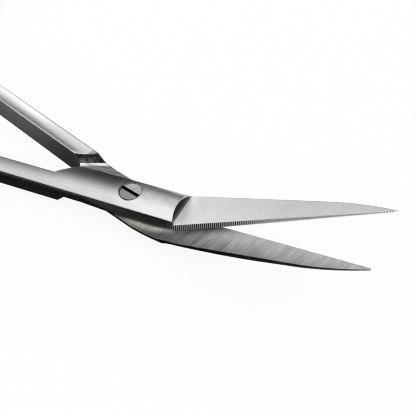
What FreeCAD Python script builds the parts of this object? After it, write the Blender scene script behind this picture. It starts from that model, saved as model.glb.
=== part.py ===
import FreeCAD, Part
import Sketcher
import math
import os

# Cuticle scissors: two forged halves and the slotted screw they turn on.
# Each half is drawn in its own frame: X towards the blade tip, the pivot on the Z axis,
# and the plane where the halves meet at Z = 0. The placement then opens the pair.

# Every size that can be set, in millimetres and degrees, with what it means.
sizes = [
    ("open_angle", 14.3, "angle between the halves as they lie, in degrees"),
    ("half_depth", 2.0, "height of the crown above the meeting plane"),
    ("crown_round", 4.2, "radius of the crown across the half"),
    ("ridge_side", 2.38, "sideways place of the ridge where the crown meets the bevelled side"),
    ("bevel_lean_share", 0.4, "how far the bevelled side leans out for each millimetre down"),
    ("face_gap", 0.04, "running gap between the two flat faces"),
    ("upper_tip_reach", 31.33, "pivot to the upper blade's tip in plan"),
    ("lower_tip_reach", 31.9, "pivot to the lower blade's tip in plan"),
    ("tip_rise", 11.95, "height of the blade tips above the meeting plane"),
    ("bend_reach", 6.9, "pivot to the bend line, at the cutting edge"),
    ("bend_round", 12.0, "radius of the bend"),
    ("bend_skew_share", 0.17, "how far the lower bend line runs forward for each millimetre across"),
    ("upper_root_depth", 0.75, "thickness of the upper blade at its root"),
    ("lower_root_depth", 0.62, "thickness of the lower blade at its root"),
    ("belly_reach", 20.0, "pivot to where the lower blade starts to thin towards its tip"),
    ("belly_depth", 0.66, "thickness of the lower blade there"),
    ("belly_round", 180.0, "radius of the lower blade's back behind that place"),
    ("upper_tip_depth", 0.15, "thickness of the upper blade at its tip"),
    ("lower_tip_depth", 0.18, "thickness of the lower blade at its tip"),
    ("step_reach", 6.45, "pivot to the top of the step in front of the lug"),
    ("step_foot", 0.55, "how far the step leans forward"),
    ("edge_side", 2.85, "lug width from the pivot to its cutting edge side"),
    ("heel_reach", 7.2, "pivot to the heel of the cutting edge"),
    ("upper_heel_offset", 2.43, "sideways place of the upper heel"),
    ("lower_heel_offset", 2.25, "sideways place of the lower heel"),
    ("upper_spine_side", 3.1, "upper lug width from the pivot to its spine side, at the step"),
    ("lower_spine_side", 3.1, "lower lug width from the pivot to its spine side"),
    ("lower_spine_wall", 0.42, "height of the lower lug's spine side above its bevel"),
    ("spine_fall_share", 0.9, "how far that bevel falls for each millimetre inwards"),
    ("lower_spine_reach", 2.9, "pivot to where the lower spine starts to draw in"),
    ("lower_root_reach", 8.2, "pivot to where the lower spine runs straight on"),
    ("lower_root_side", 2.33, "sideways place of the lower spine there"),
    ("spine_reach", 24.0, "pivot to where the spine starts to round in"),
    ("upper_spine_offset", 1.58, "sideways place of the upper spine there"),
    ("lower_spine_offset", 1.38, "sideways place of the lower spine there"),
    ("spine_round", 30.0, "radius of the spine near the tip"),
    ("tip_flat", 0.12, "blunt width of the blade tip"),
    ("shank_spread", 3.4, "angle of each shank away from its blade, in degrees"),
    ("shank_inner", 0.18, "sideways place of the shank's inner wall, at the meeting side"),
    ("upper_crown_inner", 0.5, "sideways place of the upper shank's inner wall, at the crown"),
    ("lower_crown_inner", -0.2, "sideways place of the lower shank's inner wall, at the crown"),
    ("shank_outer", 2.5, "sideways place of the shank's outer wall"),
    ("shank_draft", 0.13, "how far the outer wall draws in towards the meeting side"),
    ("shank_drop", 1.15, "how far each shank reaches past the meeting plane"),
    ("hollow_round", 5.0, "radius of the shallow hollow along the shank"),
    ("upper_stop_reach", 11.35, "pivot to the start of the slanted step under the upper shank"),
    ("lower_stop_reach", 10.75, "pivot to the start of the slanted step on the lower shank"),
    ("stop_side", 0.72, "sideways place of that start, on both shanks"),
    ("stop_slope", 38.5, "plan angle of the slanted step, in degrees"),
    ("stop_lean", 33.0, "how far the slanted step leans back, in degrees"),
    ("flare_reach", 11.2, "pivot to where the lug leaves the shank"),
    ("flare_side", 1.6, "sideways place of that point, inside the shank"),
    ("flare_corner", 9.0, "pivot to the lug's rear corner"),
    ("upper_flare_width", 0.85, "sideways place of the upper lug's rear corner"),
    ("lower_flare_width", 1.7, "sideways place of the lower lug's rear corner"),
    ("flare_round", 1.6, "radius of the lug's rear corner"),
    ("flare_end", 7.6, "pivot to the front of that rounding"),
    ("upper_flare_end", 1.88, "sideways place of the front of the upper rounding"),
    ("lower_flare_end", 2.85, "sideways place of the front of the lower rounding"),
    ("ring_reach", 71.0, "pivot to the middle of the finger ring"),
    ("ring_bore", 9.0, "inner radius of the finger ring"),
    ("ring_margin", 0.1, "how far the ring stands out past the shank's outer wall"),
    ("ring_sink", 0.03, "how far the ring's crown lies below the shank's crown"),
    ("ring_width", 3.4, "width of the ring's metal, seen from above"),
    ("ring_drop", 1.4, "how far each ring reaches past the meeting plane"),
    ("ring_round", 0.9, "rounding of the ring's edges"),
    ("ring_outer_round", 0.6, "rounding of its outer edge on the crown side"),
    ("ring_crown", 12.0, "radius of the ring's crown"),
    ("ring_fall", 0.15, "how far the crown falls towards the finger"),
    ("tooth_pitch", 0.25, "distance between the teeth of the serrated edge"),
    ("tooth_depth", 0.11, "depth of the teeth"),
    ("screw_head", 1.4, "radius of the screw head"),
    ("screw_head_depth", 0.7, "height of the screw head"),
    ("screw_head_sink", 0.22, "how far the head lies below the crown"),
    ("screw_body", 0.9, "radius of the screw's body"),
    ("screw_gap", 0.05, "running gap round the screw"),
    ("thread_gap", 0.02, "gap round the screw in the lower half's thread"),
    ("slot_width", 0.5, "width of the screwdriver slot"),
    ("slot_depth", 0.4, "depth of the screwdriver slot"),
    ("slot_angle", -5.3, "direction of the slot, in degrees"),
    ("overrun", 2.0, "how far cutting shapes reach past the metal"),
]

# Shares of the sizes they follow, and axes of turning as each sketch plane sees them.
crown_end_share = 0.9
notch_start_share = 0.4
full_turn = 360
up = FreeCAD.Vector(0, 0, 1)
up_from_side = FreeCAD.Vector(0, 1, 0)
up_from_front = FreeCAD.Vector(0, 1, 0)


class Size:
    # A number together with the expression that gives it, so that one line sets both.
    def __init__(self, text, value):
        self.text = text
        self.value = value

    def __add__(self, other):
        return Size("(%s + %s)" % (self.text, wording(other)), self.value + number(other))

    def __sub__(self, other):
        return Size("(%s - %s)" % (self.text, wording(other)), self.value - number(other))

    def __mul__(self, other):
        return Size("(%s * %s)" % (self.text, wording(other)), self.value * number(other))

    def __truediv__(self, other):
        return Size("(%s / %s)" % (self.text, wording(other)), self.value / number(other))

    def __neg__(self):
        return self * -1

    __radd__ = __add__
    __rmul__ = __mul__


def wording(item):
    if isinstance(item, Size):
        return item.text
    return "(%s)" % item


def number(item):
    if isinstance(item, Size):
        return item.value
    return item


def sine(angle):
    return Size("sin(%s)" % angle.text, math.sin(math.radians(angle.value)))


def cosine(angle):
    return Size("cos(%s)" % angle.text, math.cos(math.radians(angle.value)))


def tangent(angle):
    return sine(angle) / cosine(angle)


def arctangent(slope):
    return Size("atan(%s)" % slope.text, math.degrees(math.atan(slope.value)))


def root(item):
    return Size("sqrt(%s)" % item.text, math.sqrt(item.value))


def squared(item):
    return item * item


doc = FreeCAD.newDocument("cuticle_scissors")
sheet = doc.addObject("Spreadsheet::Sheet", "Sizes")
named = {}
for row, (word, value, meaning) in enumerate(sizes, start=1):
    sheet.set("A%d" % row, word)
    sheet.set("B%d" % row, str(value))
    sheet.set("C%d" % row, meaning)
    sheet.setAlias("B%d" % row, word)
    named[word] = Size("Sizes.%s" % word, value)
doc.recompute()


def bind(item, prop, size):
    if isinstance(size, Size):
        item.setExpression(prop, size.text)
    else:
        setattr(item, prop, size)


def origin_plane(body, role):
    return [part for part in body.Origin.OriginFeatures if part.Role == role][0]


def outline(body, name, plane, corners, offset=None, turn=None):
    # Draws a closed outline on one of the body's own planes and fixes each corner.
    # A corner is (u, v), or (u, v, radius, bulge) where an arc leads on to the next one.
    sketch = body.newObject("Sketcher::SketchObject", name)
    sketch.AttachmentSupport = [(origin_plane(body, plane), "")]
    sketch.MapMode = "FlatFace"
    if turn:
        axis, angle = turn
        rotation = FreeCAD.Rotation(axis, angle.value)
        sketch.AttachmentOffset = FreeCAD.Placement(FreeCAD.Vector(), rotation)
        sketch.setExpression(".AttachmentOffset.Rotation.Angle", angle.text)
    for letter, shift in zip("xyz", offset or ()):
        if isinstance(shift, Size):
            sketch.setExpression(".AttachmentOffset.Base.%s" % letter, shift.text)
    points = [FreeCAD.Vector(number(corner[0]), number(corner[1]), 0) for corner in corners]
    count = len(points)
    for index, corner in enumerate(corners):
        start = points[index]
        end = points[(index + 1) % count]
        if len(corner) == 2:
            sketch.addGeometry(Part.LineSegment(start, end))
            continue
        chord = end - start
        across = FreeCAD.Vector(-chord.y, chord.x, 0).normalize()
        radius = number(corner[2])
        height = radius - math.sqrt(radius ** 2 - (chord.Length / 2) ** 2)
        middle = (start + end) / 2 + across * height * corner[3]
        sketch.addGeometry(Part.Arc(start, middle, end))
    for index, corner in enumerate(corners):
        following = (index + 1) % count
        first = 1
        last = 2
        if len(corner) == 4 and corner[3] > 0:
            first, last = 2, 1
        next_first = 1
        if len(corners[following]) == 4 and corners[following][3] > 0:
            next_first = 2
        sketch.addConstraint(Sketcher.Constraint("Coincident", index, last, following, next_first))
        for kind, axis_line, place in (("DistanceX", -2, corner[0]), ("DistanceY", -1, corner[1])):
            if isinstance(place, Size):
                rule = sketch.addConstraint(Sketcher.Constraint(kind, index, first, place.value))
                sketch.setExpression("Constraints[%d]" % rule, place.text)
            else:
                sketch.addConstraint(Sketcher.Constraint("PointOnObject", index, first, axis_line))
        if len(corner) == 4:
            rule = sketch.addConstraint(Sketcher.Constraint("Radius", index, number(corner[2])))
            sketch.setExpression("Constraints[%d]" % rule, corner[2].text)
    return sketch


def disc(body, name, radius, level=None):
    sketch = body.newObject("Sketcher::SketchObject", name)
    sketch.AttachmentSupport = [(origin_plane(body, "XY_Plane"), "")]
    sketch.MapMode = "FlatFace"
    if level:
        sketch.setExpression(".AttachmentOffset.Base.z", level.text)
    sketch.addGeometry(Part.Circle(FreeCAD.Vector(), FreeCAD.Vector(0, 0, 1), radius.value))
    sketch.addConstraint(Sketcher.Constraint("Coincident", 0, 3, -1, 1))
    rule = sketch.addConstraint(Sketcher.Constraint("Radius", 0, radius.value))
    sketch.setExpression("Constraints[%d]" % rule, radius.text)
    return sketch


def pad(body, name, profile, length, both_ways=False, towards_back=False):
    feature = body.newObject("PartDesign::Pad", name)
    feature.Profile = profile
    bind(feature, "Length", length)
    feature.SideType = "Symmetric" if both_ways else "One side"
    feature.Reversed = towards_back
    return feature


def pocket(body, name, profile, length=None, both_ways=False, towards_back=False):
    feature = body.newObject("PartDesign::Pocket", name)
    feature.Profile = profile
    if length is None:
        feature.Type = "ThroughAll"
    else:
        bind(feature, "Length", length)
    feature.SideType = "Symmetric" if both_ways else "One side"
    feature.Reversed = towards_back
    return feature


def along_shank(feature, edge):
    # Makes a cut run straight down the shank instead of square to its sketch.
    feature.UseCustomVector = True
    feature.AlongSketchNormal = False
    direction = (-cosine(named["shank_spread"]), edge * sine(named["shank_spread"]))
    feature.Direction = FreeCAD.Vector(direction[0].value, direction[1].value, 0)
    feature.setExpression(".Direction.x", direction[0].text)
    feature.setExpression(".Direction.y", direction[1].text)


def scissor_half(label, level, edge):
    # level is 1 where the crown faces up and -1 where it faces down.
    # edge is the side of the pivot, along Y, that the cutting edge lies on.
    s = named
    spine = -edge
    side_word = "upper" if level > 0 else "lower"
    body = doc.addObject("PartDesign::Body", label + "_body")
    doc.recompute()

    # Side view of the lug and of the blade that bends up out of it.
    is_lower = int(level < 0)
    gap = s["face_gap"] * is_lower
    skew = s["bend_skew_share"] * is_lower
    tip_reach = s[side_word + "_tip_reach"]
    heel_offset = s[side_word + "_heel_offset"]
    bend = s["bend_reach"] + skew * heel_offset
    run = tip_reach - bend
    hypotenuse = root(squared(run) + squared(s["tip_rise"]))
    reach = s["bend_round"] * (hypotenuse - run) / s["tip_rise"]
    bend_start = bend - reach
    bend_end = bend + reach * run / hypotenuse
    bend_top = reach * s["tip_rise"] / hypotenuse
    foot = s["step_reach"] + s["step_foot"]
    foot_inner = squared(foot - bend_start) / (2 * s["bend_round"])
    belly = []
    if level < 0:
        belly_inner = (s["belly_reach"] - bend) * s["tip_rise"] / run
        belly = [(s["belly_reach"], belly_inner - gap - s["belly_depth"], s["belly_round"], 1)]
    side_view = outline(body, label + "_side", "XZ_Plane", [
        (-s["flare_reach"], -gap),
        (bend_start, -gap, s["bend_round"], -1),
        (bend_end, bend_top - gap),
        (tip_reach, s["tip_rise"] - gap),
        (tip_reach, s["tip_rise"] - gap + level * s[side_word + "_tip_depth"]),
    ] + belly + [
        (foot, foot_inner - gap + level * s[side_word + "_root_depth"]),
        (s["step_reach"], level * s["half_depth"]),
        (-s["flare_reach"], level * s["half_depth"]),
    ])
    wide = s["upper_spine_side"] + s["overrun"]
    slab = pad(body, label + "_slab", side_view, 2 * wide, both_ways=True)
    if level < 0:
        slab.UseCustomVector = True
        slab.Direction = FreeCAD.Vector(-edge * skew.value, 1, 0)
        slab.setExpression(".Direction.x", (-edge * skew).text)

    # Plan trims: the straight cutting edge on one side, the spine and the rear flare on the other.
    spread = s["shank_spread"]
    beyond = tip_reach + s["overrun"]
    behind = -s["flare_reach"] - s["overrun"]
    blunt = s["tip_flat"] / 2
    edge_trim = outline(body, label + "_edge_trim", "XY_Plane", [
        (behind, edge * s["edge_side"]),
        (s["heel_reach"], edge * s["edge_side"]),
        (s["heel_reach"], edge * heel_offset),
        (tip_reach, edge * blunt),
        (beyond, edge * blunt),
        (beyond, edge * 2 * wide),
        (behind, edge * 2 * wide),
    ])
    pocket(body, label + "_edge", edge_trim, both_ways=True)
    spine_line = [(s["step_reach"], spine * s["upper_spine_side"])]
    if level < 0:
        spine_line = [
            (s["lower_spine_reach"], spine * s["lower_spine_side"], s["spine_round"], spine),
            (s["lower_root_reach"], spine * s["lower_root_side"]),
        ]
    spine_trim = outline(body, label + "_spine_trim", "XY_Plane", [
        (behind, edge * s["flare_side"]),
        (-s["flare_reach"], edge * s["flare_side"]),
        (-s["flare_corner"], spine * s[side_word + "_flare_width"], s["flare_round"], spine),
        (-s["flare_end"], spine * s[side_word + "_flare_end"]),
    ] + spine_line + [
        (s["spine_reach"], spine * s[side_word + "_spine_offset"], s["spine_round"], spine),
        (tip_reach, spine * blunt),
        (beyond, spine * blunt),
        (beyond, spine * 2 * wide),
        (behind, spine * 2 * wide),
    ])
    pocket(body, label + "_spine", spine_trim, both_ways=True)

    # The shank is a straight bar that reaches past the meeting plane.
    turn = -edge * spread
    bar_view = outline(body, label + "_bar_view", "YZ_Plane", [
        (edge * s["shank_inner"], -level * s["shank_drop"], s["hollow_round"], edge * level),
        (edge * (s["shank_outer"] - s["shank_draft"]), -level * s["shank_drop"]),
        (edge * s["shank_outer"], 0),
        (edge * s["shank_outer"], level * s["half_depth"]),
        (edge * s[side_word + "_crown_inner"], level * s["half_depth"]),
    ], offset=(edge * s["edge_side"] * sine(spread), 0, -s["edge_side"] * cosine(spread)),
        turn=(up_from_side, turn))
    pad(body, label + "_bar", bar_view, s["ring_reach"] - s["edge_side"], towards_back=True)

    # One crown runs along the shank and straight on over the lug, up to the step.
    # Its outline is drawn looking along the lug: sideways place first, then height.
    far = s["crown_round"] * crown_end_share
    above = s["half_depth"] + s["overrun"]
    crown_front = foot + skew * s["lower_spine_side"]
    crown_view = outline(body, label + "_crown_view", "YZ_Plane", [
        (-far, level * crown_height(far), s["crown_round"], level),
        (far, level * crown_height(far)),
        (far, level * above),
        (-far, level * above),
    ], offset=(-edge * crown_front * sine(spread), 0, crown_front))
    crown = pocket(body, label + "_crown", crown_view, crown_front + s["ring_reach"] + s["overrun"])
    along_shank(crown, edge)
    wall_front = s["heel_reach"]
    bevel_drop = s["half_depth"] + s["shank_drop"]
    bevel_end = s["ridge_side"] + s["bevel_lean_share"] * bevel_drop
    bevel_view = outline(body, label + "_bevel_view", "YZ_Plane", [
        (edge * s["ridge_side"], level * crown_height(s["ridge_side"])),
        (edge * bevel_end, level * (crown_height(s["ridge_side"]) - bevel_drop)),
        (edge * bevel_end, level * above),
        (edge * s["ridge_side"], level * above),
    ], offset=(-edge * wall_front * sine(spread), 0, wall_front))
    bevel = pocket(body, label + "_bevel", bevel_view, wall_front + s["ring_reach"] + s["overrun"])
    along_shank(bevel, edge)

    # The lower lug is bevelled on its spine side too, where it shows under the upper half.
    # A second cut follows the spine where it draws in.
    if level < 0:
        inwards = s["half_depth"] + s["overrun"]
        bevel_foot = s["lower_spine_wall"] + inwards * s["spine_fall_share"]
        drawn_in = s["lower_spine_side"] - s["lower_root_side"]
        draw_slope = drawn_in / (s["lower_root_reach"] - s["lower_spine_reach"])
        front_side = s["lower_spine_side"] - draw_slope * (crown_front - s["lower_spine_reach"])
        for word, side, slope in (("back", s["lower_spine_side"], 0), ("front", front_side, draw_slope)):
            view = outline(body, label + "_%s_bevel_view" % word, "YZ_Plane", [
                (spine * side, level * s["lower_spine_wall"]),
                (spine * (side - inwards), level * bevel_foot),
                (spine * (side + s["overrun"]), level * bevel_foot),
                (spine * (side + s["overrun"]), level * s["lower_spine_wall"]),
            ], offset=(0, 0, crown_front))
            cut = pocket(body, label + "_%s_bevel" % word, view, crown_front + s["flare_corner"])
            if word == "front":
                cut.UseCustomVector = True
                cut.AlongSketchNormal = False
                cut.Direction = FreeCAD.Vector(-1, spine * slope.value, 0)
                cut.setExpression(".Direction.y", (spine * slope).text)

    # The slanted step leaves room for the other half's lug, and stops the pair when it closes.
    rise = s["shank_outer"] + s["overrun"]
    setback = s["overrun"] / tangent(s["stop_slope"])
    advance = rise / tangent(s["stop_slope"])
    stop_reach = s[side_word + "_stop_reach"]
    stop_view = outline(body, label + "_stop_view", "XY_Plane", [
        (-stop_reach - setback, edge * (s["stop_side"] - s["overrun"])),
        (-stop_reach + advance, edge * (s["stop_side"] + rise)),
        (0, edge * (s["stop_side"] + rise)),
        (0, edge * (s["stop_side"] - s["overrun"])),
    ], offset=(0, 0, -gap))
    stop_depth = s["shank_drop"] + s["overrun"]
    stop = pocket(body, label + "_stop", stop_view, stop_depth, towards_back=level < 0)
    stop.setExpression("TaperAngle", s["stop_lean"].text)

    # The finger ring is a rounded bar turned round its own middle. The shank ends inside it.
    middle = s["ring_bore"] + s["ring_margin"] + s["shank_outer"]
    ring_x = middle * sine(spread) - s["ring_reach"] * cosine(spread)
    ring_y = edge * (middle * cosine(spread) + s["ring_reach"] * sine(spread))
    inner = s["ring_bore"]
    outer = inner + s["ring_width"]
    soft = s["ring_round"]
    outer_soft = s["ring_outer_round"]
    crest = s["half_depth"] - s["ring_sink"]
    ring_view = outline(body, label + "_ring_view", "XZ_Plane", [
        (inner + soft, -level * s["ring_drop"]),
        (outer - soft, -level * s["ring_drop"], soft, -level),
        (outer, level * (soft - s["ring_drop"])),
        (outer, level * (crest - outer_soft), outer_soft, -level),
        (outer - outer_soft, level * crest, s["ring_crown"], -level),
        (inner + soft, level * (crest - s["ring_fall"]), soft, -level),
        (inner, level * (crest - s["ring_fall"] - soft)),
        (inner, level * (soft - s["ring_drop"]), soft, -level),
    ], offset=(ring_x, 0, -ring_y), turn=(up_from_front, turn))
    ring = body.newObject("PartDesign::Revolution", label + "_ring")
    ring.Profile = ring_view
    ring.ReferenceAxis = (ring_view, ["V_Axis"])
    ring.Angle = full_turn

    if level > 0:
        clear = s["screw_body"] + s["screw_gap"]
        seat = head_top() - s["screw_head_depth"] - s["face_gap"]
        head_hole = disc(body, label + "_seat_view", s["screw_head"] + s["screw_gap"], seat)
        pocket(body, label + "_seat", head_hole, s["half_depth"], towards_back=True)
        serrate(body, label, edge, tip_reach, heel_offset)
    else:
        clear = s["screw_body"] + s["thread_gap"]
    bore = disc(body, label + "_bore_view", clear)
    pocket(body, label + "_bore", bore, both_ways=True)
    return body


def crown_height(sideways):
    # Height of the crown above the meeting plane, at a sideways place.
    rise = root(squared(named["crown_round"]) - squared(sideways))
    return named["half_depth"] - named["crown_round"] + rise


def head_top():
    return named["half_depth"] - named["screw_head_sink"]


def serrate(body, label, edge, tip_reach, heel_offset):
    # Small notches across the cutting edge, one after another from the heel to the tip.
    s = named
    pitch = s["tooth_pitch"]
    run = tip_reach - s["heel_reach"]
    rise = heel_offset - s["tip_flat"] / 2
    length = root(squared(run) + squared(rise))
    slant = arctangent(rise / run)
    notch = outline(body, label + "_notch_view", "XY_Plane", [
        (0, edge * s["tooth_depth"] * notch_start_share),
        (pitch, edge * s["tooth_depth"] * notch_start_share),
        (pitch / 2, -edge * s["tooth_depth"]),
    ], offset=(s["heel_reach"], edge * heel_offset, 0), turn=(up, -edge * slant))
    first = pocket(body, label + "_notch", notch, both_ways=True)
    teeth = body.newObject("PartDesign::LinearPattern", label + "_teeth")
    teeth.Originals = [first]
    teeth.Direction = (notch, ["H_Axis"])
    count = "floor(%s)" % (length / pitch).text
    teeth.setExpression("Occurrences", count)
    teeth.setExpression("Length", "(%s - 1) * %s" % (count, pitch.text))
    body.Tip = teeth


def pivot_screw(label):
    s = named
    body = doc.addObject("PartDesign::Body", label + "_body")
    doc.recompute()
    head_bottom = head_top() - s["screw_head_depth"]
    shaft_view = disc(body, label + "_shaft_view", s["screw_body"], -s["half_depth"])
    pad(body, label + "_shaft", shaft_view, s["half_depth"] + head_top())
    head_view = disc(body, label + "_head_view", s["screw_head"], head_bottom)
    pad(body, label + "_head", head_view, s["screw_head_depth"])
    slot_view = outline(body, label + "_slot_view", "XY_Plane", [
        (-s["screw_head"] - s["overrun"], -s["slot_width"] / 2),
        (s["screw_head"] + s["overrun"], -s["slot_width"] / 2),
        (s["screw_head"] + s["overrun"], s["slot_width"] / 2),
        (-s["screw_head"] - s["overrun"], s["slot_width"] / 2),
    ], offset=(0, 0, head_top()))
    pocket(body, label + "_slot", slot_view, s["slot_depth"])
    return body


def place(item, angle):
    item.setExpression(".Placement.Base.z", named["half_depth"].text)
    item.setExpression(".Placement.Rotation.Angle", angle.text)


pieces = {
    "serrated_half": (scissor_half("serrated_half", 1, -1), named["open_angle"] / 2),
    "plain_half": (scissor_half("plain_half", -1, 1), -named["open_angle"] / 2),
    "pivot_screw": (pivot_screw("pivot_screw"), named["slot_angle"]),
}
doc.recompute()
for label, (body, angle) in pieces.items():
    body.Label = label
    place(body, angle)
doc.recompute()

for item in doc.Objects:
    if "Invalid" in item.State or "Error" in item.State or not item.isValid():
        raise SystemExit("not valid: %s %s" % (item.Name, item.State))
os.makedirs("parts", exist_ok=True)
for label, (body, angle) in pieces.items():
    shape = body.Shape
    if shape.isNull() or not shape.isValid() or not shape.Solids:
        raise SystemExit("no valid solid: %s" % label)
    print(label, "faces", len(shape.Faces), "volume %.3f" % shape.Volume, shape.BoundBox)
    shape.exportStep("parts/%s.step" % label)
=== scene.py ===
import math
from types import SimpleNamespace

import bmesh
import bpy
from mathutils import Matrix, Vector

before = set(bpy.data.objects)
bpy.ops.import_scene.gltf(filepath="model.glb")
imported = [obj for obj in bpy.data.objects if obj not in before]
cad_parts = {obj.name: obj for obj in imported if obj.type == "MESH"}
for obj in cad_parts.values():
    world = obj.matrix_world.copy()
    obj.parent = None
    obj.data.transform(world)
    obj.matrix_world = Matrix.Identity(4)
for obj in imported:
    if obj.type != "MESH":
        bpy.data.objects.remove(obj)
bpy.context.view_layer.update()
mm = 0.001
meetingHeight = 2 * mm              # of the plane where the halves meet, above the floor
noiseMiddle = 0.5
white = (1, 1, 1, 1)
print("frame loaded:", sorted(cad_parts))


# Node helpers. A value that they take is a number or another node's output.

def startMaterial(name):
    material = bpy.data.materials.new(name)
    material.use_nodes = True
    tree = material.node_tree
    tree.nodes.clear()
    return material, tree


def addNode(tree, kind, inputs=None, **settings):
    node = tree.nodes.new(kind)
    for key, value in settings.items():
        setattr(node, key, value)
    for key, value in (inputs or {}).items():
        if isinstance(value, bpy.types.NodeSocket):
            tree.links.new(value, node.inputs[key])
        else:
            node.inputs[key].default_value = value
    return node


def calculate(tree, operation, first, second=None):
    inputs = {0: first}
    if second is not None:
        inputs[1] = second
    return addNode(tree, "ShaderNodeMath", inputs, operation=operation).outputs[0]


def product(tree, first, *others):
    for other in others:
        first = calculate(tree, "MULTIPLY", first, other)
    return first


def fade(tree, value, start, end, low=0.0, high=1.0):
    # Low up to the start and high from the end on, with a smooth change between.
    inputs = {0: value, 1: start, 2: end, 3: low, 4: high}
    node = addNode(tree, "ShaderNodeMapRange", inputs, interpolation_type="SMOOTHSTEP", clamp=True)
    return node.outputs[0]


def mix(tree, share, first, second):
    return addNode(tree, "ShaderNodeMix", {0: share, 2: first, 3: second}).outputs[0]


def mixVectors(tree, share, first, second):
    node = addNode(tree, "ShaderNodeMix", {0: share, 4: first, 5: second}, data_type="VECTOR")
    return node.outputs[1]


def mixColours(tree, share, first, second):
    node = addNode(tree, "ShaderNodeMix", {0: share, 6: first, 7: second}, data_type="RGBA")
    return node.outputs[2]


def scaled(tree, colour, factor):
    return addNode(tree, "ShaderNodeVectorMath", {0: colour, "Scale": factor}, operation="SCALE").outputs[0]


def toned(tree, shade, share, tone):
    # The shade times the tone, as far as the share says.
    return product(tree, shade, mix(tree, share, 1.0, tone))


def noise(tree, point, scale, detail, rough):
    node = addNode(tree, "ShaderNodeTexNoise", {
        "Vector": point, "Scale": scale, "Detail": detail, "Roughness": rough})
    return node.outputs[0]


def streaks(tree, point, angle, squeeze, *grain):
    # Noise turned about Z and squeezed, so that it becomes brushing.
    turned = addNode(tree, "ShaderNodeMapping", {
        "Vector": point, "Rotation": (0, 0, math.radians(angle))}, vector_type="TEXTURE")
    squeezed = addNode(tree, "ShaderNodeMapping", {"Vector": turned.outputs[0], "Scale": squeeze})
    return noise(tree, squeezed.outputs[0], *grain)


def ownFrame(tree, coords, angle):
    # A piece's own frame in mm: turned by the angle, from the pivot on the meeting plane.
    return addNode(tree, "ShaderNodeMapping", {
        "Vector": coords.outputs["Object"],
        "Location": (0, 0, meetingHeight),
        "Rotation": (0, 0, math.radians(angle)),
        "Scale": (mm, mm, mm),
    }, vector_type="TEXTURE").outputs[0]


# Brushed steel of the two halves. Each half is looked at in its own frame, in mm: forward
# along the blade, sideways towards the cutting edge and up from the plane where the halves
# meet. A pair of numbers says where a fade starts and ends. Two more say how bright it is there.
# Much of that brightness is painted shade, light and highlights, marked below.

steelLook = {                       # what both halves share
    "facesFront": (0.55, 0.75),     # the first three go by the surface's own direction
    "facesUp": (0.5, 0.7),
    "facesAside": (0.5, 0.3),
    "stepSharp": 0.05,              # mm, over which one finish gives way to the next at the step
    "flatRear": (-10.8, -10.2),     # rear end of the lug's flat face
    "wallFront": 0.3,               # mm, over which the wall's painted shade ends at the step
    "ringBlend": (-29.0, -40.0),    # where the shank's painted shading gives way to a plain painted shade
    "crownGrain": ((0.05, 1, 1), 9.0, 3.0, 0.65),     # squeeze, and the noise's scale, detail, roughness
    "bladeGrain": ((0.06, 1, 0.2), 7.0, 3.0, 0.65),
    "lugGrain": ((0.08, 1, 1), 5.0, 3.0, 0.65),
    "lugContrast": (0.35, 0.65, 0.2, 0.8),
    "lugFront": (-2.0, -4.0),       # ahead of this the flat face is brushed as the blade is
    "streakGain": 4.0,
    "patchGrain": ((0.3, 1, 1), 0.9, 2.0, 0.5),
    "patchForward": 14.0,           # mm, how far the patches shift the blade's painted shading
    "patchAside": 1.6,
    # painted shade at the blade's root and spine, painted light towards its tip
    "rootFall": (5.0, 22.0),
    "tipRise": (18.0, 32.0),
    "spineFall": (-2.4, 0.8),
    "spineEnd": (28.0, 42.0),
    "stainGrain": (0.35, 3.0, 0.55),
    "stain": (0.42, 0.68),
    "anisotropic": 0.85,
    "bumpStrength": 0.15,
    "bumpDepth": 0.02,              # mm
    "edgeSamples": 6,
}

stopLook = {                        # the slanted step behind the lug, painted dark as painted shade
    "side": 0.72,                   # mm, where it starts, sideways
    "slope": 38.5,                  # degrees in plan
    "leans": ((0.3, 0.4), (0.75, 0.65)),
    "front": (-6.5, -7.0),
    # painted shade: the step's dark colour, with random mottle
    "colour": (0.17, 0.17, 0.163),
    "mottle": 0.7,
    "mottleGrain": (1.6, 4.0, 0.7),
    "mottleSpread": (0.3, 0.7),
    "footLine": (0.85, 0.1),        # mm, the painted highlight line at its foot
    "footFront": (-6.0, -7.0),
    "footHeight": (0.2, 0.1),
    "footBright": 2.2,
    "footColour": (0.85, 0.85, 0.83, 1),
}

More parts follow.
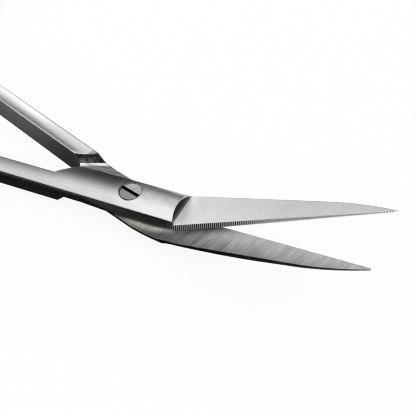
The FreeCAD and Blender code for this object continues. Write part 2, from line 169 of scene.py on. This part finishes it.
upperLook = {
    "halfAngle": 7.15,              # degrees from the pair's middle line
    "side": 1,                      # 1 where the crown faces up, -1 where it faces down
    "shankSpread": 3.4,             # degrees
    "stopReach": 11.35,             # from the pivot back to the slanted step
    "stepReach": 6.45,              # where the crown ends and the step begins
    "stepFoot": 7.05,
    "colour": (0.70, 0.70, 0.698, 1),
    "stainColour": (0.66, 0.66, 0.655, 1),
    "flatColour": (0.70, 0.70, 0.698, 1),
    "stepColour": (0.07, 0.07, 0.07, 1),
    "crownRoughness": 0.25,
    "bladeRoughness": 0.32,
    "wallRoughness": 0.22,
    "bladeBrushing": 118,           # degrees from the blade's length
    "lugBrushing": 12,
    "crownStreaks": 0.11,           # strength of the streaks in the colour
    "bladeStreaks": 0.07,
    "rootShade": 0.95,              # painted shade: how bright the blade is at its root, as a share
    "tipShade": 1.45,
    "spineShade": 1.0,
    "wallFall": (-2.0, 4.0, 1.0, 0.35),
    "ridge": (2.35, 0.08),          # near edge of the crown at the pivot, and its shift per mm back
    "shankFall": (0.3, 2.6, 0.95, 0.28),   # painted shade, from the near edge over the crown
    "shankFront": (-12.0, -8.0),    # where that fall changes into the next
    "rearFall": (0.8, 3.1, 0.92, 0.31),
    "rearFront": (-3.0, 3.0),
    # painted light on the crown's far side, ahead of the pivot
    "frontFall": (1.6, 4.4, 1.12, 2.1),
    "crownFront": 0.1,              # mm, over which the crown's painted shading ends at the step
    "ringShade": 0.72,
    "stepClears": (6.7, 7.1, 0.6, 3.5),    # painted shade and light: the step is black under the crown's edge, light at its foot
    "mattFoot": (8.6, 7.4, 0.0, 0.85),     # painted light: the blade is made matt and lighter beside that foot
    "mattFacing": (0.85, 0.9),
    "footBright": 1.12,
    "screwLine": ((1.3, 1.4), (1.62, 1.48)),   # painted shade: a dark line around the screw's head
    "screwLineShade": 0.15,
    "edgeChange": (6.0, 6.4),
    "shankEdge": 0.2,               # how rounded the edges look, in mm, on the shank and ahead of it
    "bladeEdge": 0.1,
}

toothLook = {                       # the upper half's teeth
    "heelReach": 7.2,               # mm, where the row of teeth starts
    "heelSide": 2.43,
    "slant": 5.61,                  # degrees
    "shade": (0.0, 0.04, 2.2, 0.0),      # painted highlight at the crest to painted shade in the valley
    "along": (15.0, 19.0, 0.38, 0.62),   # painted shade: the teeth are darker at the heel
    "tipSide": (-0.1, 0.0),
    "metallic": 0.1,
}

lowerLook = {
    "halfAngle": -7.15,
    "side": -1,
    "shankSpread": -3.4,
    "stopReach": 10.75,
    "stepReach": 6.45,
    "stepFoot": 7.05,
    # painted light: the lower half's steel is lighter than the upper's
    "colour": (0.90, 0.90, 0.897, 1),
    "stainColour": (0.86, 0.86, 0.855, 1),
    # painted shade: the lower flat faces are darker than its crown
    "flatColour": (0.52, 0.52, 0.512, 1),
    "stepColour": (0.3, 0.3, 0.29, 1),
    "crownRoughness": 0.24,
    "bladeRoughness": 0.42,
    "wallRoughness": 0.3,
    "bladeBrushing": 81,
    "lugBrushing": 12,
    "crownStreaks": 0.11,
    "bladeStreaks": 0.36,
    "rootShade": 0.55,
    "tipShade": 1.28,
    "spineShade": 0.45,
    "wallFall": (-24.0, -12.0, 0.9, 0.35),
    "ridge": (2.3, 0.055),
    "shankFall": (0.2, 1.8, 1.2, 0.46),
    "shankGain": (-30.0, -15.0, 0.72, 1.45),
    "shankFront": (-6.0, -6.5),
    "shankHeight": (0.6, 0.9),
    "whiteStrip": (-1.5, -0.9),     # painted highlight: mm behind the slanted step, where the shank is painted white again
    "whiteStripShade": 1.5,
    "ringShade": 0.56,
    "edgeChange": (-7.5, -6.0),
    "shankEdge": 0.3,
    "bladeEdge": 0.08,
}

markLook = {                        # a painted olive highlight on the lower inner face beside the upper lug
    "bend": (1.0, 20.5, -2.75, 5.0),     # from and to along the blade, and where it lies sideways there
    "outerEdge": (-0.9, 0.2),
    "innerEdge": (1.0, 0.6),
    "rear": (-0.2, 2.6),
    "front": (8.0, 5.0),
    "mattFront": (16.0, 11.0),
    "colour": (0.74, 0.735, 0.66, 1),
    "bright": 2.2,
    "grain": (3.5, 4.0, 0.7),
    "speckle": (0.3, 0.7, 0.6, 1.4),     # fine uneven patches in the painted highlight
    "metallic": 0.3,
}


def findPlaces(tree, look):
    # Where on the half a point is: distances in mm, and shares from 0 to 1.
    coords = addNode(tree, "ShaderNodeTexCoord")
    own = ownFrame(tree, coords, look["halfAngle"])
    facing = addNode(tree, "ShaderNodeMapping", {
        "Vector": coords.outputs["Normal"],
        "Rotation": (0, 0, math.radians(look["halfAngle"])),
    }, vector_type="TEXTURE").outputs[0]
    place = addNode(tree, "ShaderNodeSeparateXYZ", {0: own}).outputs
    normal = addNode(tree, "ShaderNodeSeparateXYZ", {0: facing}).outputs
    at = SimpleNamespace(own=own, forward=place[0], height=place[2], upwards=normal[2])
    at.sideways = product(tree, place[1], -look["side"])

    sharp = steelLook["stepSharp"]
    at.pastStep = fade(tree, at.forward, look["stepReach"], look["stepReach"] + sharp)
    at.onStep = product(tree, at.pastStep, fade(tree, normal[0], *steelLook["facesFront"]))
    at.onBlade = fade(tree, at.forward, look["stepFoot"] - sharp, look["stepFoot"] + sharp)
    at.onWall = fade(tree, calculate(tree, "ABSOLUTE", at.upwards), *steelLook["facesAside"])
    at.facesUp = fade(tree, at.upwards, *steelLook["facesUp"])
    towardsMate = product(tree, at.upwards, -look["side"])
    facesMate = fade(tree, towardsMate, *steelLook["facesUp"])
    at.onFlat = product(tree, facesMate, fade(tree, at.forward, *steelLook["flatRear"]))
    at.onInside = calculate(tree, "MAXIMUM", at.onBlade, at.onFlat)

    # The slanted step behind the lug, which is painted dark, and the painted highlight line at its foot.
    slope = math.radians(stopLook["slope"])
    ahead = product(tree, calculate(tree, "ADD", at.forward, look["stopReach"]), math.sin(slope))
    aside = product(tree, calculate(tree, "SUBTRACT", at.sideways, stopLook["side"]), math.cos(slope))
    at.aheadOfStop = calculate(tree, "SUBTRACT", ahead, aside)
    leans = [fade(tree, towardsMate, *edges) for edges in stopLook["leans"]]
    at.onStop = product(tree, *leans, fade(tree, at.forward, *stopLook["front"]))
    at.lightFoot = product(tree, fade(tree, at.aheadOfStop, *stopLook["footLine"]), facesMate,
                           fade(tree, at.forward, *stopLook["footFront"]),
                           fade(tree, at.height, *stopLook["footHeight"]))
    return at


def brush(tree, look, at):
    # The crown and the shank are brushed lengthwise, the blade across.
    crownGrain = streaks(tree, at.own, look["shankSpread"], *steelLook["crownGrain"])
    bladeGrain = streaks(tree, at.own, look["bladeBrushing"], *steelLook["bladeGrain"])
    lugGrain = streaks(tree, at.own, look["lugBrushing"], *steelLook["lugGrain"])
    lugGrain = fade(tree, lugGrain, *steelLook["lugContrast"])
    onLug = fade(tree, at.forward, *steelLook["lugFront"])
    return mix(tree, at.onInside, crownGrain, mix(tree, onLug, bladeGrain, lugGrain))


def shadeStreaks(tree, look, at, streak):
    strength = fade(tree, at.onInside, 0, 1, look["crownStreaks"], look["bladeStreaks"])
    gain = product(tree, strength, steelLook["streakGain"])
    spread = product(tree, calculate(tree, "SUBTRACT", streak, noiseMiddle), gain)
    return calculate(tree, "ADD", spread, 1.0)


def shadeBlade(tree, look, at):
    # Painted shade: the blade is darker at its root, and the lower one along its spine too. Painted light
    # makes it brighter towards its tip.
    patch = streaks(tree, at.own, look["bladeBrushing"], *steelLook["patchGrain"])
    patch = calculate(tree, "SUBTRACT", patch, noiseMiddle)
    along = calculate(tree, "ADD", at.forward, product(tree, patch, steelLook["patchForward"]))
    fromSpine = calculate(tree, "ADD", at.sideways, product(tree, patch, steelLook["patchAside"]))
    rootTone = fade(tree, along, *steelLook["rootFall"], look["rootShade"], 1.0)
    tipTone = fade(tree, at.forward, *steelLook["tipRise"], 1.0, look["tipShade"])
    spineTone = fade(tree, fromSpine, *steelLook["spineFall"], look["spineShade"], 1.0)
    spineTone = mix(tree, fade(tree, along, *steelLook["spineEnd"]), spineTone, 1.0)
    return product(tree, rootTone, tipTone, spineTone)


def distanceFromRidge(tree, look, at):
    # How far the point lies across the crown or the shank, from its near edge.
    side, slope = look["ridge"]
    ridge = calculate(tree, "SUBTRACT", side, product(tree, at.forward, slope))
    return calculate(tree, "SUBTRACT", ridge, at.sideways)


def shadeTeeth(tree, at, shade):
    # Painted highlight and shade: each tooth is painted bright at its crest and black in the valley.
    slant = math.radians(toothLook["slant"])
    inwards = calculate(tree, "SUBTRACT", toothLook["heelSide"], at.sideways)
    onwards = calculate(tree, "SUBTRACT", at.forward, toothLook["heelReach"])
    depth = calculate(tree, "SUBTRACT", product(tree, inwards, math.cos(slant)),
                      product(tree, onwards, math.sin(slant)))
    at.onTeeth = product(tree, at.onBlade, at.onWall, fade(tree, at.sideways, *toothLook["tipSide"]))
    tooth = product(tree, fade(tree, depth, *toothLook["shade"]),
                    fade(tree, at.forward, *toothLook["along"]))
    return toned(tree, shade, at.onTeeth, tooth)


def shadeRootStep(tree, look, at, shade):
    # Painted shade and light on the step at the blade's root; painted light on the blade beside its foot.
    shade = toned(tree, shade, at.onStep, fade(tree, at.forward, *look["stepClears"]))
    at.nearFoot = product(tree, at.pastStep, fade(tree, at.forward, *look["mattFoot"]),
                          fade(tree, at.upwards, *look["mattFacing"]))
    return product(tree, shade, fade(tree, at.nearFoot, 0.0, look["mattFoot"][-1], 1.0, look["footBright"]))


def shadeCrown(tree, look, at, shade):
    # Painted shade and light: behind the pivot the crown is painted darker away from its near edge, more so
    # towards the rear; ahead of it, lighter away from that edge.
    fromRidge = distanceFromRidge(tree, look, at)
    rearTone = mix(tree, fade(tree, at.forward, *look["shankFront"]),
                   fade(tree, fromRidge, *look["shankFall"]), fade(tree, fromRidge, *look["rearFall"]))
    tone = mix(tree, fade(tree, at.forward, *look["rearFront"]), rearTone,
               fade(tree, fromRidge, *look["frontFall"]))
    tone = mix(tree, fade(tree, at.forward, *steelLook["ringBlend"]), tone, look["ringShade"])
    crownEnd = fade(tree, at.forward, look["stepReach"] + look["crownFront"], look["stepReach"])
    onCrown = product(tree, at.facesUp, crownEnd)
    shade = toned(tree, shade, onCrown, tone)
    # Painted shade: a dark line on the crown around the screw's head.
    flatPlace = addNode(tree, "ShaderNodeCombineXYZ", {0: at.forward, 1: at.sideways})
    distance = addNode(tree, "ShaderNodeVectorMath", {0: flatPlace.outputs[0]}, operation="LENGTH")
    line = product(tree, *[fade(tree, distance.outputs["Value"], *edges) for edges in look["screwLine"]],
                   onCrown)
    return product(tree, shade, fade(tree, line, 0.0, 1.0, 1.0, look["screwLineShade"]))


def shadeShank(tree, look, at, shade):
    # Painted shade: the lower shank's top is painted darker towards its near edge, but for a painted
    # highlight strip at the step.
    fall = fade(tree, distanceFromRidge(tree, look, at), *look["shankFall"])
    fall = product(tree, fall, fade(tree, at.forward, *look["shankGain"]))
    fall = mix(tree, fade(tree, at.aheadOfStop, *look["whiteStrip"]), fall, look["whiteStripShade"])
    fall = mix(tree, fade(tree, at.forward, *steelLook["ringBlend"]), fall, look["ringShade"])
    onShank = product(tree, at.facesUp, fade(tree, at.forward, *look["shankFront"]),
                      fade(tree, at.height, *look["shankHeight"]))
    return toned(tree, shade, onShank, fall)


def markPlaces(tree, at):
    # The share of the painted olive highlight, and of the longer zone that is made matt and lighter as
    # painted light.
    across = calculate(tree, "SUBTRACT", at.sideways, fade(tree, at.forward, *markLook["bend"]))
    beside = product(tree, fade(tree, across, *markLook["outerEdge"]),
                     fade(tree, across, *markLook["innerEdge"]),
                     fade(tree, at.forward, *markLook["rear"]), at.onFlat)
    at.onMark = product(tree, beside, fade(tree, at.forward, *markLook["front"]))
    at.rubbed = product(tree, beside, fade(tree, at.forward, *markLook["mattFront"]))


def shadeMark(tree, at, shade):
    # Painted highlight: the olive zone is made lighter, and so is the light line at the step's foot.
    speckle = fade(tree, noise(tree, at.own, *markLook["grain"]), *markLook["speckle"])
    shade = toned(tree, shade, at.onMark, product(tree, speckle, markLook["bright"]))
    return product(tree, shade, fade(tree, at.lightFoot, 0.0, 1.0, 1.0, stopLook["footBright"]))


def colourSteel(tree, look, at):
    # The random stain is the steel's own; the rest is painted: shade on the lower flat faces and on the
    # steps, the olive highlight and the highlight line at the step's foot.
    stain = fade(tree, noise(tree, at.own, *steelLook["stainGrain"]), *steelLook["stain"])
    steel = mixColours(tree, stain, look["colour"], look["stainColour"])
    steel = mixColours(tree, at.onFlat, steel, look["flatColour"])
    if look["side"] < 0:
        steel = mixColours(tree, at.onMark, steel, markLook["colour"])
    steel = mixColours(tree, at.lightFoot, steel, stopLook["footColour"])
    steel = mixColours(tree, at.onStep, steel, look["stepColour"])
    mottle = fade(tree, noise(tree, at.own, *stopLook["mottleGrain"]), *stopLook["mottleSpread"],
                  1 - stopLook["mottle"], 1 + stopLook["mottle"])
    return mixColours(tree, at.onStop, steel, scaled(tree, stopLook["colour"], mottle))


def brushingDirection(tree, look, at):
    turns = [math.radians(look["halfAngle"] + look[name] + 90) for name in ("shankSpread", "bladeBrushing")]
    shankWay, bladeWay = [(math.cos(turn), math.sin(turn), 0) for turn in turns]
    shine = mixVectors(tree, at.onInside, shankWay, bladeWay)
    return addNode(tree, "ShaderNodeVectorTransform", {0: shine}, vector_type="VECTOR",
                   convert_from="OBJECT", convert_to="WORLD").outputs[0]


def brushedSteel(name, look):
    material, tree = startMaterial(name)
    at = findPlaces(tree, look)
    streak = brush(tree, look, at)
    shade = shadeStreaks(tree, look, at, streak)
    if look["side"] > 0:
        shade = shadeTeeth(tree, at, shade)
        shade = shadeRootStep(tree, look, at, shade)
        shade = shadeCrown(tree, look, at, shade)
        # Painted light: the teeth and the blade beside the step's foot are made less metallic, so that
        # their painted colour shows.
        matt = calculate(tree, "MAXIMUM", at.onTeeth, at.nearFoot)
        mattMetallic = toothLook["metallic"]
    else:
        markPlaces(tree, at)
        shade = shadeShank(tree, look, at, shade)
        shade = shadeMark(tree, at, shade)
        # Painted light: the olive zone and the step's foot line are made less metallic, so that their
        # painted colour shows.
        matt = calculate(tree, "MAXIMUM", at.rubbed, at.lightFoot)
        mattMetallic = markLook["metallic"]
    # Painted shade: the side walls are darker towards the front.
    wallEnd = fade(tree, at.forward, look["stepReach"], look["stepReach"] - steelLook["wallFront"])
    shade = toned(tree, shade, product(tree, at.onWall, wallEnd), fade(tree, at.forward, *look["wallFall"]))
    shade = toned(tree, shade, at.onInside, shadeBlade(tree, look, at))

    roughness = fade(tree, at.onInside, 0, 1, look["crownRoughness"], look["bladeRoughness"])
    radius = fade(tree, at.forward, *look["edgeChange"], look["shankEdge"] * mm, look["bladeEdge"] * mm)
    softEdge = addNode(tree, "ShaderNodeBevel", {"Radius": radius}, samples=steelLook["edgeSamples"])
    bump = addNode(tree, "ShaderNodeBump", {
        "Height": streak, "Strength": steelLook["bumpStrength"], "Distance": steelLook["bumpDepth"] * mm,
        "Normal": softEdge.outputs[0]})
    shader = addNode(tree, "ShaderNodeBsdfPrincipled", {
        "Base Color": scaled(tree, colourSteel(tree, look, at), shade),
        "Metallic": fade(tree, matt, 0.0, 1.0, 1.0, mattMetallic),
        "Roughness": mix(tree, at.onWall, roughness, look["wallRoughness"]),
        "Anisotropic": steelLook["anisotropic"],
        "Tangent": brushingDirection(tree, look, at),
        "Normal": bump.outputs[0],
    })
    addNode(tree, "ShaderNodeOutputMaterial", {"Surface": shader.outputs[0]})
    return material


screwLook = {
    "headTop": 1.78,                # mm above the meeting plane
    "slotFade": (0.02, 0.08),       # mm below that, where the slot's colour starts and is full
    "slotAngle": -5.3,              # degrees
    "sideFade": (-0.1, 0.1),        # mm from the slot's middle line
    "nearColour": (0.40, 0.40, 0.39, 1),
    "farColour": (0.62, 0.62, 0.60, 1),
    "slotColour": (0.02, 0.02, 0.02, 1),
    "roughness": 0.4,
    "brushing": 60,                 # degrees from the slot
    "grain": ((0.08, 1, 1), 6.0, 3.0, 0.6),
    "streaks": (0.3, 0.7, 0.85, 1.15),
}


def screwSteel(name, look):
    # Painted reflection and shade: the head's two sides are coloured darker and lighter as they reflect
    # differently, and the slot between them is painted dark.
    material, tree = startMaterial(name)
    own = ownFrame(tree, addNode(tree, "ShaderNodeTexCoord"), look["slotAngle"])
    place = addNode(tree, "ShaderNodeSeparateXYZ", {0: own}).outputs
    farSide = fade(tree, place[1], *look["sideFade"])
    below = fade(tree, place[2], *[look["headTop"] - drop for drop in look["slotFade"]])
    grain = streaks(tree, own, look["brushing"], *look["grain"])
    head = scaled(tree, mixColours(tree, farSide, look["nearColour"], look["farColour"]),
                  fade(tree, grain, *look["streaks"]))
    shader = addNode(tree, "ShaderNodeBsdfPrincipled", {
        "Base Color": mixColours(tree, below, head, look["slotColour"]),
        "Metallic": 1.0,
        "Roughness": look["roughness"],
    })
    addNode(tree, "ShaderNodeOutputMaterial", {"Surface": shader.outputs[0]})
    return material


def giveMaterial(piece, material):
    for slot in piece.material_slots:
        slot.material = material


giveMaterial(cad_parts["serrated_half"], brushedSteel("upperSteel", upperLook))
giveMaterial(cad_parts["plain_half"], brushedSteel("lowerSteel", lowerLook))
giveMaterial(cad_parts["pivot_screw"], screwSteel("screwSteel", screwLook))
print("steel finishes made")


# Stage: a white floor, a plain world, a soft panel and the tent that the steel reflects.

stageLook = {
    "floorSize": 1.2,
    "floorColour": (0.92, 0.92, 0.92, 1),
    "floorGlow": 0.9,               # share of the floor that is plain white, the rest takes the shadow
    "worldStrength": 0.95,
    "panelSize": 0.35,
    "panelRadiance": 0.5,
    "panelPlace": (-0.16, 0.02, 0.40),
    "tentRadius": 0.45,
    "tentDetail": 4,
    "tentLift": 0.05,                   # mm, the tent's ground lies this far above the floor
    "tentAxis": (0, -0.3, 0.954),       # the tent is brightest this way
    "tentSteps": [(0.0, 0.08), (0.12, 0.15), (0.25, 0.27), (0.5, 0.56), (0.8, 1.05), (1.0, 1.3)],
    "tentLeast": 0.01,
    "frontFlag": (-0.3, -0.6),          # a dark flag in front, low down, by the share of the tent's size
    "frontFlagTop": (0.66, 0.5),
    "rightFlag": (-0.1, 0.2),           # it reaches higher at the right
    "rightFlagTop": (0.95, 0.8),
    "leftPanel": (-0.62, -0.74),        # a white panel low down at the left
    "leftPanelLevel": 1.4,
    "groundTop": (0.002, 0.001),        # the cards lie on the tent's ground, below this share
    "cardEdgeX": (-6, 0),               # a white card lying behind the blades, in mm
    "cardEdgeY": (0, 1),
    "cardSlant": 0.3,                   # its front edge runs forward this much for each mm to the right
    "cardLevel": 1.0,
    "holeX": ((8, 10), (20, 17)),       # a hole in the card, so that the step at the blade's root is dark
    "holeY": ((-1, 1), (11, 8)),
    "rearCard": (-42, -50),             # a grey card under the rear of the shanks and the rings, in mm
    "rearCardLevel": 0.35,
}


def linkPiece(name, data):
    piece = bpy.data.objects.new(name, data)
    bpy.context.scene.collection.objects.link(piece)
    return piece


def makeFloor(look):
    half = look["floorSize"] / 2
    mesh = bpy.data.meshes.new("floor")
    mesh.from_pydata([(-half, -half, 0), (half, -half, 0), (half, half, 0), (-half, half, 0)], [],
                     [(0, 1, 2, 3)])
    material, tree = startMaterial("floorSurface")
    matt = addNode(tree, "ShaderNodeBsdfDiffuse", {"Color": look["floorColour"]})
    glow = addNode(tree, "ShaderNodeEmission", {"Color": white, "Strength": 1.0})
    paths = addNode(tree, "ShaderNodeLightPath").outputs
    seen = calculate(tree, "MAXIMUM", paths["Is Camera Ray"], paths["Is Glossy Ray"])
    seen = calculate(tree, "MAXIMUM", seen, paths["Is Transmission Ray"])
    share = product(tree, seen, look["floorGlow"])
    both = addNode(tree, "ShaderNodeMixShader", {0: share, 1: matt.outputs[0], 2: glow.outputs[0]})
    addNode(tree, "ShaderNodeOutputMaterial", {"Surface": both.outputs[0]})
    mesh.materials.append(material)
    linkPiece("floor", mesh)


def makeWorld(look):
    world = bpy.data.worlds.new("studio")
    world.use_nodes = True
    background = world.node_tree.nodes["Background"]
    background.inputs["Color"].default_value = white
    background.inputs["Strength"].default_value = look["worldStrength"]
    bpy.context.scene.world = world


def makePanel(look):
    lamp = bpy.data.lights.new("topPanel", "AREA")
    lamp.size = look["panelSize"]
    lamp.energy = look["panelRadiance"] * math.pi * look["panelSize"] ** 2
    panel = linkPiece("topPanel", lamp)
    panel.location = look["panelPlace"]
    panel.rotation_euler = Vector(look["panelPlace"]).to_track_quat("Z", "Y").to_euler()
    panel.visible_glossy = False


def makeTentMesh(look):
    # A dome with a flat ground.
    mesh = bpy.data.meshes.new("tent")
    shape = bmesh.new()
    bmesh.ops.create_icosphere(shape, subdivisions=look["tentDetail"], radius=look["tentRadius"])
    bmesh.ops.bisect_plane(shape, geom=shape.verts[:] + shape.edges[:] + shape.faces[:],
                           plane_co=(0, 0, look["tentLift"] * mm), plane_no=(0, 0, -1), clear_outer=True)
    rim = [edge for edge in shape.edges if len(edge.link_faces) == 1]
    bmesh.ops.contextual_create(shape, geom=rim)
    shape.to_mesh(mesh)
    shape.free()
    return mesh


def domeLevel(tree, look, unit, place):
    # How bright the dome is: graded, with dark flags in front and a white panel at the left.
    lift = addNode(tree, "ShaderNodeVectorMath", {0: unit, 1: look["tentAxis"]}, operation="DOT_PRODUCT")
    ramp = addNode(tree, "ShaderNodeValToRGB", {0: lift.outputs["Value"]})
    points = ramp.color_ramp.elements
    for index, (position, level) in enumerate(look["tentSteps"]):
        point = points[index] if index < len(points) else points.new(position)
        point.position = position
        point.color = (level, level, level, 1)
    lowDown = fade(tree, place[2], *look["frontFlagTop"])
    lowRight = product(tree, fade(tree, place[0], *look["rightFlag"]),
                       fade(tree, place[2], *look["rightFlagTop"]))
    flagged = product(tree, fade(tree, place[1], *look["frontFlag"]),
                      calculate(tree, "MAXIMUM", lowDown, lowRight))
    level = product(tree, ramp.outputs[0], calculate(tree, "SUBTRACT", 1.0, flagged))
    leftLevel = product(tree, fade(tree, place[0], *look["leftPanel"]), look["leftPanelLevel"])
    return calculate(tree, "MAXIMUM", level, leftLevel)


def cardLevel(tree, look, place):
    # How bright the tent's ground is: black but for the white card with its hole and the grey one.
    def fadeAcross(value, edges, *levels):
        return fade(tree, value, *[edge * mm / look["tentRadius"] for edge in edges], *levels)

    slanted = calculate(tree, "ADD", place[1], product(tree, place[0], look["cardSlant"]))
    hole = product(tree, *[fadeAcross(place[axis], edges)
                           for axis, name in ((0, "holeX"), (1, "holeY")) for edges in look[name]])
    whiteCard = product(tree, fadeAcross(place[0], look["cardEdgeX"]),
                        fadeAcross(slanted, look["cardEdgeY"]),
                        calculate(tree, "SUBTRACT", 1.0, hole), look["cardLevel"])
    greyCard = fadeAcross(place[0], look["rearCard"], 0.0, look["rearCardLevel"])
    return calculate(tree, "MAXIMUM", whiteCard, greyCard)


def makeTent(look):
    # A graded tent, bright above and dark low down, that only the steel sees.
    material, tree = startMaterial("tentCloth")
    coords = addNode(tree, "ShaderNodeTexCoord")
    unit = addNode(tree, "ShaderNodeMapping", {
        "Vector": coords.outputs["Object"], "Scale": (1 / look["tentRadius"],) * 3}).outputs[0]
    place = addNode(tree, "ShaderNodeSeparateXYZ", {0: unit}).outputs
    level = mix(tree, fade(tree, place[2], *look["groundTop"]), domeLevel(tree, look, unit, place),
                cardLevel(tree, look, place))
    level = calculate(tree, "MAXIMUM", level, look["tentLeast"])
    glow = addNode(tree, "ShaderNodeEmission", {"Color": white, "Strength": level})
    addNode(tree, "ShaderNodeOutputMaterial", {"Surface": glow.outputs[0]})
    mesh = makeTentMesh(look)
    mesh.materials.append(material)
    tent = linkPiece("tent", mesh)
    tent.visible_camera = False
    tent.visible_diffuse = False
    tent.visible_shadow = False


makeFloor(stageLook)
makeWorld(stageLook)
makePanel(stageLook)
makeTent(stageLook)


# Camera, solved from the photograph.

cameraLook = {
    "place": (38.297, -39.563, 56.972),   # mm
    "azimuth": 34.0,                      # degrees, 0 looks along +Y
    "elevation": 46.2,
    "roll": 1.5,
    "focalPixels": 606.06,                # for a frame as wide as the next value
    "framePixels": 416,
    "sensor": 36.0,
    "clip": (0.001, 10),                  # m
    "pixelFilter": 1.1,                   # pixels
}


def makeCamera(look):
    data = bpy.data.cameras.new("camera")
    data.sensor_width = look["sensor"]
    data.lens = look["sensor"] * look["focalPixels"] / look["framePixels"]
    data.clip_start, data.clip_end = look["clip"]
    camera = linkPiece("camera", data)
    tilt = math.radians(90 - look["elevation"])
    turn = Matrix.Rotation(math.radians(look["azimuth"]), 4, "Z") @ Matrix.Rotation(tilt, 4, "X")
    turn = turn @ Matrix.Rotation(math.radians(-look["roll"]), 4, "Z")
    camera.matrix_world = Matrix.Translation(Vector(look["place"]) * mm) @ turn
    bpy.context.scene.camera = camera
    bpy.context.scene.cycles.filter_width = look["pixelFilter"]


makeCamera(cameraLook)
bpy.context.scene.view_settings.view_transform = "Standard"
print("stage and camera ready")
